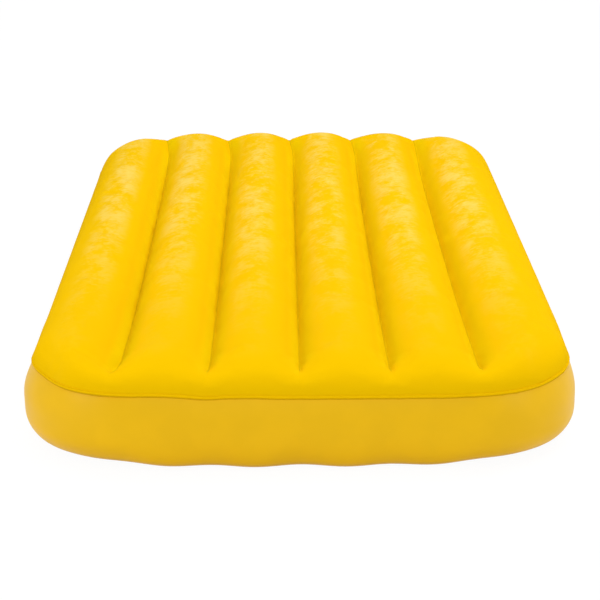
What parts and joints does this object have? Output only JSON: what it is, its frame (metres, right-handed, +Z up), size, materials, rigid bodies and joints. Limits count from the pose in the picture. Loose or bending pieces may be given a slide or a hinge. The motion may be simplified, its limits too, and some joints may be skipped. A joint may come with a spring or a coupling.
{
  "type": "flocked airbed",
  "caption": "Thick inflated sleeping pad with a flocked top of lengthwise air channels, a smooth vinyl side band and a screw-plug air valve in its end wall.",
  "frame": {"origin": "on the floor, under the middle of the bed", "axes": "+X across the bed, +Y along it towards the valve end, +Z up"},
  "size_m": [0.8798, 1.5838, 0.18],
  "materials": {
    "flocked_top": "short yellow flock on vinyl",
    "side_vinyl": "smooth satin amber-yellow vinyl",
    "underside_vinyl": "smooth satin amber-yellow vinyl",
    "web_vinyl": "plain vinyl web",
    "valve_plastic": "soft translucent moulding",
    "plug_plastic": "moulded, lightly glossy",
    "leash_plastic": "soft moulded strap",
    "cap_plastic": "moulded, lightly glossy",
    "gasket_rubber": "black seal",
    "flap_rubber": "thin pale flap"
  },
  "bodies": {
    "root": {"top_sheet": "flocked_top", "bottom_sheet": "underside_vinyl", "side_wall": "side_vinyl", "beam_1": "web_vinyl", "beam_2": "web_vinyl", "beam_3": "web_vinyl", "beam_4": "web_vinyl", "beam_5": "web_vinyl", "valve_base": "valve_plastic", "collar_ring": "leash_plastic", "leash_strap": "leash_plastic"},
    "leash_ring": {"leash_ring": "leash_plastic"},
    "plug": {"valve_plug": "plug_plastic", "plug_gasket": "gasket_rubber"},
    "check_flap": {"check_flap": "flap_rubber"},
    "nozzle_cap": {"nozzle_cap": "cap_plastic"}
  },
  "joints": [
    {"name": "plug_rise", "type": "slide", "parent": "root", "child": "leash_ring", "axis": [0, 1, 0], "range_m": [0, 0.009], "deforming": ["leash_strap"]},
    {"name": "plug_turn", "type": "hinge", "parent": "leash_ring", "child": "plug", "pos_m": [0.21, 0.785, 0.066], "axis": [0, 1, 0], "range_deg": [0, 811]},
    {"name": "cap_flip", "type": "hinge", "parent": "plug", "child": "nozzle_cap", "pos_m": [0.21, 0.7958, 0.082], "axis": [1, 0, 0], "range_deg": [0, 135]},
    {"name": "flap_swing", "type": "hinge", "parent": "plug", "child": "check_flap", "pos_m": [0.21, 0.7793, 0.0786], "axis": [-1, 0, 0], "range_deg": [0, 60], "stiffness_Nm_per_rad": 0.0005}
  ],
  "couplings": [
    {"joint": "plug_turn", "follows": "plug_rise", "rad_per_m": 1570.8}
  ]
}
